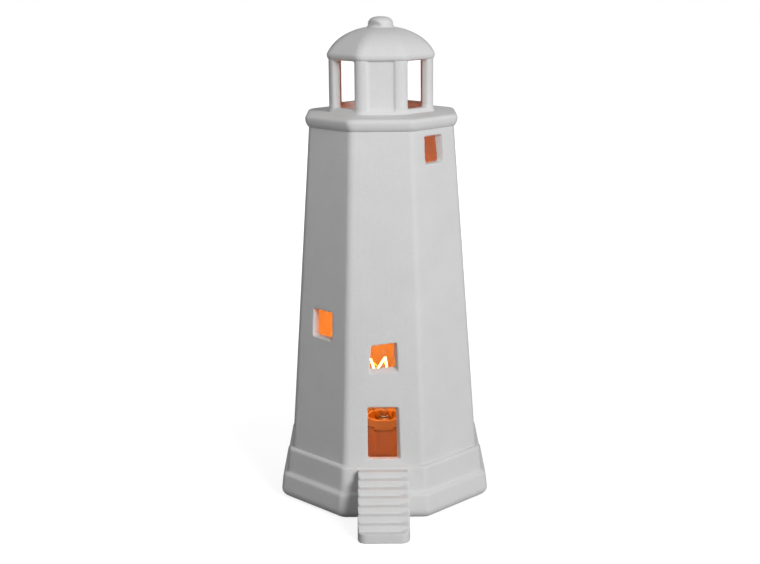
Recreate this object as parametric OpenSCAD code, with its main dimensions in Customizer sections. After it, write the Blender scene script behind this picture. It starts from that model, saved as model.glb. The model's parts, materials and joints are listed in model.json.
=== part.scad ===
// Garden lighthouse light. Seven unglazed white slip castings, luted together,
// make an octagonal lighthouse. A candelabra bulb lights it from inside, in a
// lamp holder that is pushed up through the floor and held by two leaf springs.
//
// Millimetres, +Z up. The front, with the steps and the door, faces -Y.
// The origin lies on the ground, in the middle of the box round the footprint;
// the tower's axis stands tower_y behind it, because the steps reach forward.

/* [Plinth] */
// Width of the lower tier across its flats, at its widest
plinth_w = 143.6; // [136:0.2:150]
// Height of the lower tier
lower_tier_h = 18.6; // [16:0.2:21]
// Height of the upper tier
upper_tier_h = 17.8; // [16:0.2:21]
// Lean of the lower tier's flats, from widest to top
lower_tier_draft = 1.2; // [0.5:0.1:2.5]
// Lean of the upper tier's flats
upper_tier_draft = 1.2; // [0.5:0.1:2.5]
// Depth of the sloping ledge on top of each tier
tier_ledge = 2.9; // [1.5:0.1:3.5]
// Drop of that ledge, from its inner edge to its outer edge
ledge_drop = 2; // [1:0.1:3]
// Radius of the bottom edge
foot_round = 3; // [2:0.5:5]
// Width of the ring that the plinth stands on
foot_w = 6; // [4:0.5:9]
// Height of the recess under the floor
recess_h = 14; // [13.5:0.5:15]
// Thickness of the floor that carries the lamp holder
floor_t = 6; // [4:0.5:7]
// Radius of the plinth's upright corners
plinth_corner_r = 6; // [3:0.5:9]
// Diameter of the hole for the cord, in the back of the foot
cord_hole_d = 8; // [5:0.5:9]

/* [Tower] */
// Height of the tower, from the plinth to the gallery
tower_h = 221.6; // [200:0.1:260]
// Width of the tower across its flats, at the top
tower_top_w = 96.6; // [92:0.1:108]
// Thickness of the tower's cast wall
wall = 5.5; // [4:0.1:7]
// Radius of the tower's upright corners
tower_corner_r = 5; // [2:0.5:8]

/* [Door and windows] */
// Width of the doorway
door_w = 21.2; // [16:0.1:28]
// Height of the doorway
door_h = 35.4; // [28:0.1:42]
// Height of the door's sill above the plinth
door_sill = 3.5; // [2:0.1:8]
// Shift of the doorway to the left
door_shift = 0.3; // [0:0.1:3]
// Width of the middle window, above the door
middle_window_w = 18.7; // [12:0.1:24]
// Height of the middle window
middle_window_h = 18.2; // [12:0.1:24]
// Height of the middle window's sill above the plinth
middle_window_z = 63.6; // [58:0.1:80]
// Rise of the middle window's head, from left to right
middle_window_lean = 1.8; // [0:0.1:3]
// Width of the left window, on the front left face
left_window_w = 18.4; // [12:0.1:24]
// Height of the left window
left_window_h = 18.9; // [12:0.1:24]
// Height of the left window's sill above the plinth
left_window_z = 81.6; // [70:0.1:100]
// Width of the right window, high on the front right face
right_window_w = 17.4; // [12:0.1:22]
// Height of the right window
right_window_h = 18.1; // [12:0.1:22]
// Gap between the right window and the gallery
right_window_drop = 4.9; // [4:0.1:30]
// Shift of the right window to the left
right_window_shift = 0.4; // [0:0.1:2]
// Narrowing of the door and windows through the wall, at their right jambs
jamb_taper = 2.4; // [0:0.1:3]
// Rise of the windows' sills through the wall
sill_taper = 0.9; // [0:0.1:2]

/* [Steps] */
// Width of the flight of steps
steps_w = 34; // [26:0.5:42]
// Distance that the steps stand out from the plinth
steps_run = 39; // [32:0.5:50]
// Shift of the steps to the left
steps_shift = 0.7; // [0:0.1:3]
// Number of treads, with the landing
step_count = 8; // [6:1:10]
// Drop of the landing below the upper tier's ledge
landing_drop = 0.6; // [0.2:0.1:3]
// Height that the lowest riser has more than the others
foot_rise = 2.5; // [0:0.1:4]
// Radius of the flight's front corners
steps_corner_r = 6; // [1:0.1:8]
// Radius of each tread's nose
nose_r = 1; // [0.5:0.1:1.4]

/* [Gallery] */
// Thickness of the gallery
gallery_t = 9.1; // [7:0.1:12]
// Distance that the rounded lip stands out from the tower
lip_out = 2.5; // [1.5:0.1:5]
// Depth of the lip's rounding, inwards from its outermost line
lip_round = 4.2; // [3:0.1:6]
// Height of the lip's outermost line above its underside
lip_rise = 5.9; // [3:0.1:6.5]

/* [Lantern] */
// Width of the lantern house across its flats
lantern_w = 69.6; // [60:0.2:80]
// Height of the lantern house
lantern_h = 35.2; // [28:0.1:44]
// Thickness of the lantern house's wall
lantern_wall = 5; // [3.5:0.1:6]
// Radius of the lantern house's upright corners
lantern_corner_r = 3; // [1.5:0.1:4]
// Width of the four open windows, outside
lantern_window_w = 19; // [14:0.1:20]
// Narrowing of each window through the wall, at either jamb
lantern_taper = 1.8; // [0:0.1:2.5]
// Height of the windows' sill above the gallery
lantern_sill = 3; // [2:0.1:6]
// Drop of the windows' upper edge below the eave
lantern_lintel = 1.2; // [0.6:0.1:3]
// Width of the four blind panels
blind_panel_w = 18; // [12:0.1:20]
// Depth of the blind panels
blind_panel_depth = 1.2; // [0.5:0.1:2]
// Height of the blind panels' lower edge above the gallery
blind_panel_sill = 2; // [1:0.1:5]

/* [Roof] */
// Distance that the rounded eave stands out from the lantern house
eave_out = 1.2; // [0.4:0.1:3]
// Height of the rounded eave
eave_h = 3.6; // [2.5:0.1:6]
// Rise of the dome's curve above the eave
dome_rise = 16.7; // [14:0.1:26]
// Drop of the middle of the dome's curve below the top of the eave
dome_drop = 8.8; // [4:0.1:11]
// Thickness of the dome
dome_t = 4.6; // [3.5:0.1:6]
// Radius of the flat on the crown, which carries the knob
crown_r = 10.2; // [9.4:0.1:12]
// Diameter of the knob
knob_d = 17; // [12:0.1:18]
// Height of the knob
knob_h = 7; // [5:0.1:10]
// Squareness of the knob's shoulder, where 1 is round
knob_shoulder = 0.77; // [0.6:0.01:1]
// Width of the flare at the knob's foot
knob_flare = 1.2; // [0.5:0.1:1.4]

/* [Lamp holder] */
// Diameter of the hole in the floor
lamp_hole_d = 34; // [33:0.1:36]
// Width of the holder's eight-sided body across its flats
holder_w = 25.4; // [24.5:0.1:26]
// Height of the joint between body and collar, above the floor
holder_body_h = 21.4; // [20:0.2:24]
// Diameter of the collar
collar_d = 25; // [24:0.1:26]
// Height of the collar
collar_h = 8; // [7:0.1:10]
// Thickness of the collar's rim
collar_wall = 1.3; // [1:0.1:1.8]
// Thickness of the collar's floor, which carries the screw shell
collar_floor = 3; // [2.8:0.1:3.5]
// Height of the four lugs that lock the collar to the body
lug_h = 1.6; // [1:0.1:1.7]
// Width of the lugs
lug_w = 5; // [3:0.1:6]
// Diameter of the flange under the floor
flange_d = 44; // [40:0.5:50]
// Thickness of the flange
flange_t = 1.8; // [1.4:0.1:2]
// Diameter of the cap on the holder's underside
holder_cap_d = 30; // [29:0.5:32]
// Depth of the cap on the holder's underside
holder_cap_h = 8; // [7.8:0.1:9]
// Wall of the cap on the holder's underside
holder_cap_wall = 1.6; // [1.2:0.1:1.8]
// Diameter of the cord's inlet in the cap
cord_inlet_d = 5; // [4:0.1:5.6]
// Thickness of the leaf springs
leaf_t = 0.5; // [0.4:0.05:0.7]
// Width of the leaf springs
leaf_w = 6; // [4:0.5:7]

/* [Bulb] */
// Largest diameter of the bulb's glass
bulb_d = 32; // [26:0.5:32]
// Length of the bulb, from its contact to its tip
bulb_l = 98; // [90:0.5:104]
// Thickness of the bulb's glass
glass_t = 0.8; // [0.6:0.1:1.2]
// Diameter of the bulb's screw cap
cap_d = 11.7; // [11.5:0.1:11.9]
// Height of the filament above the bulb's contact
filament_z = 63; // [56:0.5:64]
// Height of the filament's zigzag
filament_h = 8.5; // [8:0.5:12]
// Radius of the ring that the filament is strung round
filament_ring_r = 9; // [6:0.5:9.5]

/* [Fits] */
// Gap between the lamp holder and the floor that it is pushed through
push_gap = 0.2; // [0.15:0.05:0.3]
// Gap between the bulb's cap and its screw shell, thread to thread
thread_gap = 0.3; // [0.2:0.05:0.3]
// Gap between parts that drop into each other
loose_gap = 0.2; // [0.1:0.05:0.3]

/* [Hidden] */
$fn = 96;

// Colours
bisque = [0.93, 0.92, 0.90];
white_plastic = [0.90, 0.88, 0.83];
brass = [0.80, 0.62, 0.30];
steel = [0.75, 0.76, 0.78];
clear_glass = [0.85, 0.90, 0.92, 0.35];
black_glass = [0.10, 0.10, 0.11];
fibre = [0.45, 0.27, 0.16];
tungsten = [1.00, 0.72, 0.35];

// Levels of the castings
plinth_h = lower_tier_h + upper_tier_h;
gallery_z = plinth_h + tower_h;
lantern_z = gallery_z + gallery_t;
eave_z = lantern_z + lantern_h;
dome_z = eave_z + eave_h;
floor_top = recess_h + floor_t;

// Half widths across flats
plinth_a = plinth_w / 2;
lower_top_a = plinth_a - lower_tier_draft;
upper_foot_a = lower_top_a - tier_ledge;
upper_top_a = upper_foot_a - upper_tier_draft;
tower_foot_a = upper_top_a - tier_ledge;
tower_top_a = tower_top_w / 2;
lantern_a = lantern_w / 2;
lantern_inner_a = lantern_a - lantern_wall;
dome_out = eave_out / 2;
dome_a = lantern_a + dome_out;

// The tower's axis behind the middle of the footprint
steps_reach = plinth_a + steps_run;
tower_y = (steps_reach - plinth_a) / 2;

// Facets in each rounded corner of an octagon
corner_steps = 4;
ring_points = 8 * (corner_steps + 1);
// Overshoot of a cutting shape past the surface that it cuts
cut = 1;
// Overshoot of a hand-cut opening past the leaning wall that it cuts
lean_cut = 2.5;
// Length and points of the hand-cut openings' softened corners
soft_corner_r = 0.8;
soft_points = 2;

// ---- Octagonal shells ----

// The points of one level: an octagon with a flat to the front, a half width
// across flats of level[1] and rounded corners of radius level[2], at level[0]
function octagon_ring(level) = [
  for (corner = [0:7], step = [0:corner_steps])
    let (
      bisector = 45 * corner + 22.5,
      turn = 45 * corner + 45 * step / corner_steps,
      reach = (level[1] - level[2]) / cos(22.5)
    )
    [
      reach * cos(bisector) + level[2] * cos(turn),
      reach * sin(bisector) + level[2] * sin(turn),
      level[0]
    ]
];

// A solid swept through the levels of a wall's section. The levels run down
// the inside and up the outside. A hollow wall's last level joins its first,
// and otherwise a flat face closes the first level and the last.
module octagon_shell(levels, hollow = false) {
  count = len(levels);
  bands = hollow ? count : count - 1;
  sides = [
    for (band = [0:bands - 1], point = [0:ring_points - 1])
      let (
        here = band * ring_points,
        there = ((band + 1) % count) * ring_points,
        next = (point + 1) % ring_points
      )
      [here + point, there + point, there + next, here + next]
  ];
  first_face = [for (point = [0:ring_points - 1]) point];
  last_face = [for (point = [ring_points - 1:-1:0]) (count - 1) * ring_points + point];
  polyhedron(
    points = [for (level = levels) each octagon_ring(level)],
    faces = hollow ? sides : concat(sides, [first_face, last_face]),
    convexity = 8
  );
}

// Places its children on the tower's axis
module on_axis() {
  translate([0, tower_y, 0]) children();
}

// Turns its children, drawn for the front face, to another of the eight faces
module on_face(face) {
  rotate([0, 0, 45 * face]) children();
}

// The corners of a hand-cut opening, as [across, up], from the lower left. Its
// head rises by lean from left to right.
function hand_cut(width, height, sill, lean = 0) = [
  [-width / 2, sill],
  [width / 2, sill],
  [width / 2, sill + height + lean / 2],
  [-width / 2, sill + height - lean / 2]
];

// The same outline with softened corners
function soft_outline(corners) = [
  for (corner = [0:3], point = [0:soft_points])
    let (
      here = corners[corner],
      from = here + soft_corner_r * unit(corners[(corner + 3) % 4] - here),
      to = here + soft_corner_r * unit(corners[(corner + 1) % 4] - here),
      share = point / soft_points
    )
    pow(1 - share, 2) * from + 2 * share * (1 - share) * here + pow(share, 2) * to
];
function unit(vector) = vector / norm(vector);

// Cuts an opening through the wall of the front face. The outline closes in
// through the wall: left and right by the jambs' tapers, below by the sill's.
// It runs on past both sides, because the tower's wall leans.
module cut_through(corners, face_a, thickness, left_taper, right_taper, sill_rise) {
  taper = [
    [left_taper, sill_rise], [-right_taper, sill_rise], [-right_taper, 0], [left_taper, 0]
  ];
  count = 4 * (soft_points + 1);
  polyhedron(
    points = [
      for (
        depth = [-lean_cut, thickness + lean_cut],
        place = soft_outline(corners + taper * depth / thickness)
      )
        [place[0], depth - face_a, place[1]]
    ],
    faces = concat(
      [
        [for (point = [count - 1:-1:0]) point],
        [for (point = [0:count - 1]) count + point]
      ],
      [
        for (here = [0:count - 1])
          let (next = (here + 1) % count)
          each [[here, next, count + next], [here, count + next, count + here]]
      ]
    )
  );
}

// A thin round rod between two points
module rod(from, to, radius) {
  span = to - from;
  length = norm(span);
  translate(from)
    rotate([0, acos(span[2] / length), atan2(span[1], span[0])])
      cylinder(h = length, r = radius, $fn = 24);
}

// Rods that join a list of points, with a ball a little thicker at each
module bent_wire(points, radius, ball) {
  for (index = [0:len(points) - 2]) rod(points[index], points[index + 1], radius);
  for (point = points) translate(point) sphere(ball, $fn = 24);
}

// ---- The castings ----

// Levels of the plinth's outer face, from the ground up
foot_arc_steps = 4;
plinth_outside = concat(
  [
    for (step = [foot_arc_steps:-1:0])
      let (angle = 90 * step / foot_arc_steps)
      [
        foot_round * (1 - sin(angle)),
        plinth_a - foot_round * (1 - cos(angle)),
        plinth_corner_r
      ]
  ],
  [
    [lower_tier_h - ledge_drop, lower_top_a, plinth_corner_r],
    [lower_tier_h, upper_foot_a, plinth_corner_r],
    [plinth_h - ledge_drop, upper_top_a, plinth_corner_r],
    [plinth_h, tower_foot_a, tower_corner_r]
  ]
);
foot_inner_a = plinth_a - foot_round - foot_w;
inner_corner_r = 2;
tower_inner_foot_a = tower_foot_a - wall;
tower_inner_top_a = tower_top_a - wall;
lamp_hole_r = lamp_hole_d / 2;
cord_hole_z = recess_h / 2 + 1.5;

module stepped_plinth() {
  color(bisque)
    on_axis()
      difference() {
        octagon_shell(concat(
          [
            [recess_h, foot_inner_a, inner_corner_r],
            [0, foot_inner_a, inner_corner_r]
          ],
          plinth_outside,
          [
            [plinth_h, tower_inner_foot_a, inner_corner_r],
            [floor_top, tower_inner_foot_a + tier_ledge, inner_corner_r]
          ]
        ));
        translate([0, 0, recess_h - cut]) cylinder(h = floor_t + 2 * cut, r = lamp_hole_r);
        translate([0, foot_inner_a - cut, cord_hole_z])
          rotate([-90, 0, 0])
            cylinder(h = plinth_a - foot_inner_a + 2 * cut, d = cord_hole_d);
      }
}

// Half width of the tower's outer face at a height above the plinth
function tower_a(height) = tower_foot_a + (tower_top_a - tower_foot_a) * height / tower_h;

module tower_shaft() {
  color(bisque)
    on_axis()
      difference() {
        octagon_shell([
          [gallery_z, tower_inner_top_a, inner_corner_r],
          [plinth_h, tower_inner_foot_a, inner_corner_r],
          [plinth_h, tower_foot_a, tower_corner_r],
          [gallery_z, tower_top_a, tower_corner_r]
        ], hollow = true);
        tower_opening(0, -door_shift, door_w, door_h, door_sill);
        tower_opening(
          0, 0, middle_window_w, middle_window_h, middle_window_z, middle_window_lean, sill_taper
        );
        tower_opening(-1, 0, left_window_w, left_window_h, left_window_z, 0, sill_taper);
        tower_opening(
          1, -right_window_shift, right_window_w, right_window_h,
          tower_h - right_window_drop - right_window_h, 0, sill_taper
        );
      }
}

// An opening in one of the tower's faces, with its sill above the plinth
module tower_opening(face, shift, width, height, sill, lean = 0, sill_rise = 0) {
  on_face(face)
    translate([shift, 0, plinth_h])
      cut_through(
        hand_cut(width, height, sill, lean), tower_a(sill + height / 2), wall,
        0, jamb_taper, sill_rise
      );
}

// The section of the flight of steps, as [forward of the axis, height]. Its
// back follows the plinth's front, and each tread ends in a round nose.
landing_z = plinth_h - ledge_drop - landing_drop;
riser = (landing_z - foot_rise) / step_count;
landing_edge = upper_top_a + steps_run / step_count;
tread = (steps_reach - landing_edge) / (step_count - 1);
nose_points = 3;
function nose(step) = [
  for (point = [0:nose_points])
    let (angle = 90 * point / nose_points)
    [
      landing_edge + tread * step - nose_r * (1 - sin(angle)),
      landing_z - riser * step - nose_r * (1 - cos(angle))
    ]
];
function riser_foot(step) = step == step_count - 1 ? 0 : landing_z - riser * (step + 1);
plinth_front = [
  for (level = plinth_outside)
    if (level[0] < landing_z) [level[1], level[0]]
];
landing_back_a = upper_foot_a
  - upper_tier_draft * (landing_z - lower_tier_h) / (upper_tier_h - ledge_drop);
steps_section = concat(
  plinth_front,
  [[landing_back_a, landing_z]],
  [
    for (step = [0:step_count - 1])
      each concat(nose(step), [[landing_edge + tread * step, riser_foot(step)]])
  ]
);

module entrance_steps() {
  color(bisque)
    on_axis()
      translate([-steps_shift, 0, 0])
        intersection() {
          rotate([90, 0, -90])
            linear_extrude(steps_w, center = true)
              polygon(steps_section);
          linear_extrude(plinth_h) steps_outline();
        }
}

// The flight seen from above, with round front corners
module steps_outline() {
  back = upper_top_a - tier_ledge;
  translate([-steps_w / 2, -steps_reach + steps_corner_r])
    square([steps_w, steps_reach - steps_corner_r - back]);
  translate([-steps_w / 2 + steps_corner_r, -steps_reach])
    square([steps_w - 2 * steps_corner_r, steps_corner_r + cut]);
  for (side = [-1, 1])
    translate([side * (steps_w / 2 - steps_corner_r), -steps_reach + steps_corner_r])
      circle(steps_corner_r);
}

lip_steps = 8;
lip_a = tower_top_a + lip_out;
module gallery_ledge() {
  color(bisque)
    on_axis()
      octagon_shell(concat(
        [
          [lantern_z, lantern_inner_a, inner_corner_r],
          [gallery_z, lantern_inner_a, inner_corner_r]
        ],
        [
          for (step = [0:lip_steps])
            let (angle = -90 + 180 * step / lip_steps)
            [
              gallery_z + lip_rise + (angle < 0 ? lip_rise : gallery_t - lip_rise) * sin(angle),
              lip_a - lip_round * (1 - cos(angle)),
              tower_corner_r
            ]
        ]
      ), hollow = true);
}

module lantern_house() {
  color(bisque)
    on_axis()
      difference() {
        octagon_shell([
          [eave_z, lantern_inner_a, inner_corner_r],
          [lantern_z, lantern_inner_a, inner_corner_r],
          [lantern_z, lantern_a, lantern_corner_r],
          [eave_z, lantern_a, lantern_corner_r]
        ], hollow = true);
        for (face = [1:2:7])
          on_face(face)
            cut_through(
              hand_cut(
                lantern_window_w, lantern_h - lantern_sill - lantern_lintel,
                lantern_z + lantern_sill
              ),
              lantern_a, lantern_wall, lantern_taper, lantern_taper, 0
            );
        for (face = [0:2:6])
          on_face(face)
            translate([-blind_panel_w / 2, -lantern_a - cut, lantern_z + blind_panel_sill])
              cube([blind_panel_w, blind_panel_depth + cut, lantern_h]);
      }
}

// The dome's sides rise in one elliptic curve, whose middle lies below the eave
dome_steps = 9;
eave_steps = 5;
dome_middle_z = dome_z - dome_drop;
curve_rise = dome_rise + dome_drop;
curve_a = dome_a / sqrt(1 - pow(dome_drop / curve_rise, 2));
eave_angle = asin(dome_drop / curve_rise);
crown_angle = acos(crown_r / curve_a);
crown_z = dome_middle_z + curve_rise * sin(crown_angle);
// Extra thickness where the knob is luted on
crown_extra = 1.4;
inner_dome_rise = dome_rise + eave_h - dome_t - crown_extra;
inner_dome_steps = 6;
inner_crown_angle = 68;
module dome_roof() {
  color(bisque)
    on_axis()
      octagon_shell(concat(
        [
          for (step = [inner_dome_steps:-1:0])
            let (angle = inner_crown_angle * step / inner_dome_steps)
            [
              eave_z + inner_dome_rise * sin(angle),
              lantern_inner_a * cos(angle),
              inner_corner_r
            ]
        ],
        [
          for (step = [0:eave_steps - 1])
            let (share = step / eave_steps)
            [
              eave_z + eave_h * share,
              lantern_a + dome_out * share + (eave_out - dome_out / 2) * sin(180 * share),
              lantern_corner_r
            ]
        ],
        [
          for (step = [0:dome_steps])
            let (angle = eave_angle + (crown_angle - eave_angle) * step / dome_steps)
            [
              dome_middle_z + curve_rise * sin(angle),
              curve_a * cos(angle),
              lantern_corner_r
            ]
        ]
      ));
}

knob_steps = 8;
knob_flare_h = 1.2;
module roof_knob() {
  color(bisque)
    on_axis()
      translate([0, 0, crown_z])
        rotate_extrude()
          polygon(concat(
            [[0, 0], [knob_d / 2 + knob_flare, 0], [knob_d / 2 + knob_flare / 4, knob_flare_h / 2]],
            [
              for (step = [0:knob_steps - 1])
                let (angle = 90 * step / knob_steps)
                [
                  knob_d / 2 * pow(cos(angle), knob_shoulder),
                  knob_flare_h + (knob_h - knob_flare_h) * pow(sin(angle), knob_shoulder)
                ]
            ],
            [[0, knob_h]]
          ));
}

// ---- The lamp holder ----

flange_top = recess_h - push_gap;
flange_z = flange_top - flange_t;
spigot_h = 3.2;
spigot_gap = 0.5;
spigot_r = lamp_hole_r - spigot_gap;
body_top = floor_top + holder_body_h;
collar_top = body_top + collar_h;
cup_floor = body_top + collar_floor;
insulator_r = 7.8;
insulator_z = floor_top + 4;
insulator_t = 1.6;
wiring_r = 6;
lug_inner_r = 9;
lug_outer_r = collar_d / 2 - 0.1;
register_h = 1.4;
register_wall = 1.4;
holder_cap_r = holder_cap_d / 2;
holder_cap_inner_r = holder_cap_r - holder_cap_wall;
register_r = holder_cap_inner_r - loose_gap;
cap_floor_z = flange_z - holder_cap_h;
inlet_z = flange_z - holder_cap_h / 2;
inlet_boss_wall = 1.2;
inlet_boss_reach = 20;
inlet_root_y = sqrt(pow(holder_cap_inner_r, 2) - pow(cord_inlet_d / 2, 2)) - loose_gap / 2;

// The leaf spring's bulge is an arc whose crown grips the hole in the floor with
// the corners of its width
leaf_crown_r = sqrt(pow(lamp_hole_r - push_gap, 2) - leaf_w * leaf_w / 4);
leaf_root_r = holder_w / 2 + leaf_t;
leaf_rise = 5.3;
leaf_crown_z = floor_top - 1.3;
leaf_depth = leaf_crown_r - leaf_root_r;
leaf_arc_r = (leaf_depth * leaf_depth + leaf_rise * leaf_rise) / (2 * leaf_depth);
leaf_arc_x = leaf_crown_r - leaf_arc_r;
leaf_foot_drop = 4.2;
leaf_tab_h = 9;
leaf_slot_w = leaf_w + 4 * loose_gap;
rivet_z = leaf_crown_z + leaf_rise + leaf_tab_h / 2;
rivet_r = 0.8;
rivet_head_r = 1.7;
rivet_head_t = 0.8;
rivet_l = 2.6;

// An upright eight-sided prism with a flat to the front
module octagon_prism(width, height) {
  rotate([0, 0, 22.5]) cylinder(h = height, d = width / cos(22.5), $fn = 8);
}

module lamp_holder_body() {
  color(white_plastic)
    on_axis()
      difference() {
        union() {
          translate([0, 0, flange_z]) {
            cylinder(h = flange_t, d = flange_d);
            octagon_prism(holder_w, body_top - flange_z);
          }
          translate([0, 0, flange_top]) cylinder(h = spigot_h, r = spigot_r);
          translate([0, 0, flange_z - register_h]) cylinder(h = register_h, r = register_r);
          for (corner = [0:3])
            rotate([0, 0, 45 + 90 * corner])
              translate([lug_inner_r, -lug_w / 2, body_top - cut])
                cube([lug_outer_r - lug_inner_r, lug_w, lug_h + cut]);
        }
        translate([0, 0, insulator_z]) cylinder(h = body_top, r = insulator_r + loose_gap);
        translate([0, 0, cap_floor_z]) cylinder(h = body_top, r = wiring_r);
        translate([0, 0, flange_z - register_h - cut])
          cylinder(h = register_h + cut, r = register_r - register_wall);
        for (side = [-1, 1]) {
          translate([side * (holder_w / 2 + flange_d / 2), 0, flange_top])
            translate([-flange_d / 2, -leaf_slot_w / 2, 0])
              cube([flange_d, leaf_slot_w, spigot_h + cut]);
          translate([side * (holder_w / 2 + cut), 0, rivet_z])
            rotate([0, -90 * side, 0])
              cylinder(h = rivet_l - leaf_t - rivet_head_t + 2 * cut, r = rivet_r + loose_gap / 4);
        }
      }
}

module holder_collar() {
  notch_w = lug_w + 2 * loose_gap;
  color(white_plastic)
    on_axis()
      difference() {
        translate([0, 0, body_top]) cylinder(h = collar_h, d = collar_d);
        translate([0, 0, cup_floor]) cylinder(h = collar_h, d = collar_d - 2 * collar_wall);
        translate([0, 0, body_top - cut])
          cylinder(h = collar_h, r = shell_outer_r + loose_gap);
        for (corner = [0:3])
          rotate([0, 0, 45 + 90 * corner])
            translate([lug_inner_r - loose_gap, -notch_w / 2, body_top - cut])
              cube([collar_d, notch_w, lug_h + loose_gap + cut]);
      }
}

module holder_cap() {
  boss_r = cord_inlet_d / 2 + inlet_boss_wall;
  color(white_plastic)
    on_axis()
      difference() {
        union() {
          translate([0, 0, cap_floor_z]) cylinder(h = holder_cap_h, r = holder_cap_r);
          translate([0, 0, inlet_z])
            rotate([-90, 0, 0])
              cylinder(h = inlet_boss_reach, r = boss_r);
        }
        translate([0, 0, cap_floor_z + holder_cap_wall])
          cylinder(h = holder_cap_h, r = holder_cap_inner_r);
        translate([0, inlet_root_y, inlet_z])
          rotate([-90, 0, 0])
            cylinder(h = inlet_boss_reach, r = cord_inlet_d / 2);
      }
}

// A leaf spring: a flat tab riveted to the body, and a bulge below it
module leaf_spring() {
  rotate([90, 0, 0])
    linear_extrude(leaf_w, center = true) {
      intersection() {
        translate([leaf_arc_x, leaf_crown_z])
          difference() {
            circle(leaf_arc_r);
            circle(leaf_arc_r - leaf_t);
          }
        translate([leaf_root_r - leaf_t, leaf_crown_z - leaf_foot_drop])
          square([leaf_crown_r, leaf_foot_drop + leaf_rise]);
      }
      translate([leaf_root_r - leaf_t, leaf_crown_z + leaf_rise - leaf_t])
        square([leaf_t, leaf_tab_h + leaf_t]);
    }
}

module leaf_springs() {
  color(steel)
    on_axis()
      for (turn = [0, 180])
        rotate([0, 0, turn])
          difference() {
            leaf_spring();
            translate([leaf_root_r - leaf_t - cut, 0, rivet_z])
              rotate([0, 90, 0])
                cylinder(h = leaf_t + 2 * cut, r = rivet_r + loose_gap / 4);
          }
}

module spring_rivets() {
  color(steel)
    on_axis()
      for (turn = [0, 180])
        rotate([0, 0, turn])
          translate([leaf_root_r, 0, rivet_z])
            rotate([0, 90, 0]) {
              cylinder(h = rivet_head_t, r = rivet_head_r);
              translate([0, 0, rivet_head_t - rivet_l]) cylinder(h = rivet_l, r = rivet_r);
            }
}

shell_t = 0.4;
shell_inner_r = cap_d / 2 + thread_gap;
shell_outer_r = shell_inner_r + shell_t;
shell_flange_w = 2.4;
shell_flange_r = shell_outer_r + shell_flange_w;
shell_lip_r = 4.2;
shell_foot = insulator_z + insulator_t;
module screw_shell() {
  color(brass)
    on_axis()
      difference() {
        union() {
          translate([0, 0, shell_foot])
            cylinder(h = cup_floor + shell_t - shell_foot, r = shell_outer_r);
          translate([0, 0, cup_floor]) cylinder(h = shell_t, r = shell_flange_r);
        }
        translate([0, 0, shell_foot + shell_t]) cylinder(h = body_top, r = shell_inner_r);
        translate([0, 0, shell_foot - cut]) cylinder(h = body_top, r = shell_lip_r);
      }
}

contact_w = 3;
contact_l = 6.4;
contact_t = 0.4;
contact_h = 1.7;
module centre_contact() {
  color(brass)
    on_axis()
      translate([0, 0, shell_foot]) {
        translate([-contact_l / 2, -contact_w / 2, 0]) cube([contact_l, contact_w, contact_t]);
        translate([-contact_w / 2, -contact_w / 2, 0])
          cube([contact_w, contact_w, contact_h]);
      }
}

module contact_insulator() {
  color(fibre)
    on_axis()
      translate([0, 0, insulator_z]) cylinder(h = insulator_t, r = insulator_r);
}

terminal_w = 3;
terminal_t = 0.6;
terminal_l = 7;
terminal_x = 3.6;
module wire_terminals() {
  color(brass)
    on_axis()
      for (side = [-1, 1])
        translate([
          side * terminal_x - terminal_t / 2, -terminal_w / 2, insulator_z - terminal_l
        ])
          cube([terminal_t, terminal_w, terminal_l]);
}

// ---- The bulb ----

bulb_z = shell_foot + contact_h + thread_gap;
tip_h = 1.2;
tip_r = 2.4;
tip_crown_r = 1.4;
tip_crown_h = 0.1;
solder_gap = 0.05;
bulb_insulator_h = 2.4;
bulb_insulator_foot_r = 2.8;
cap_foot = bulb_z + tip_h + solder_gap + bulb_insulator_h;
cap_t = 0.35;
cap_seat_gap = 0.4;
cap_top = cup_floor + shell_t + cap_seat_gap;
shoulder_w = 1;
shoulder_r = cap_d / 2 + shoulder_w;
shoulder_h = 2.4;
neck_z = cap_top + cap_t;
cement_gap = 0.3;
neck_r = shoulder_r - cap_t - cement_gap;
bulb_top = bulb_z + bulb_l;
glass_h = bulb_top - neck_z;
belly_share = 0.44;
glass_steps = 12;

module bulb_tip_contact() {
  color(steel)
    on_axis()
      translate([0, 0, bulb_z])
        rotate_extrude()
          polygon([
            [0, 0], [tip_crown_r, tip_crown_h], [tip_r, tip_h / 2], [tip_r, tip_h], [0, tip_h]
          ]);
}

module bulb_insulator() {
  color(black_glass)
    on_axis()
      translate([0, 0, bulb_z + tip_h + solder_gap])
        cylinder(h = bulb_insulator_h, r1 = bulb_insulator_foot_r, r2 = cap_d / 2);
}

module bulb_cap() {
  color(brass)
    on_axis()
      difference() {
        union() {
          translate([0, 0, cap_foot]) cylinder(h = cap_top - cap_foot, d = cap_d);
          translate([0, 0, cap_top]) cylinder(h = shoulder_h, r = shoulder_r);
        }
        translate([0, 0, cap_foot - cut]) cylinder(h = bulb_l, r = cap_d / 2 - cap_t);
        translate([0, 0, neck_z]) cylinder(h = shoulder_h, r = shoulder_r - cap_t);
      }
}

// Half section of the glass: a swelling neck, then a torpedo's tapered nose
function glass_r(share, neck, belly) =
  share < belly_share
    ? neck + (belly - neck) * pow(0.5 - 0.5 * cos(180 * share / belly_share), 0.85)
    : belly * pow(cos(90 * (share - belly_share) / (1 - belly_share)), 0.85);
function glass_line(neck, belly, height) = [
  for (step = [0:2 * glass_steps])
    let (share = step / (2 * glass_steps))
    [share < 1 ? glass_r(share, neck, belly) : 0, height * share]
];
module bulb_glass() {
  outside = glass_line(neck_r, bulb_d / 2, glass_h);
  inside = glass_line(neck_r - glass_t, bulb_d / 2 - glass_t, glass_h - 2 * glass_t);
  color(clear_glass)
    on_axis()
      translate([0, 0, neck_z])
        rotate_extrude()
          polygon(concat(outside, [for (index = [len(inside) - 1:-1:0]) inside[index]]));
}

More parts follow.
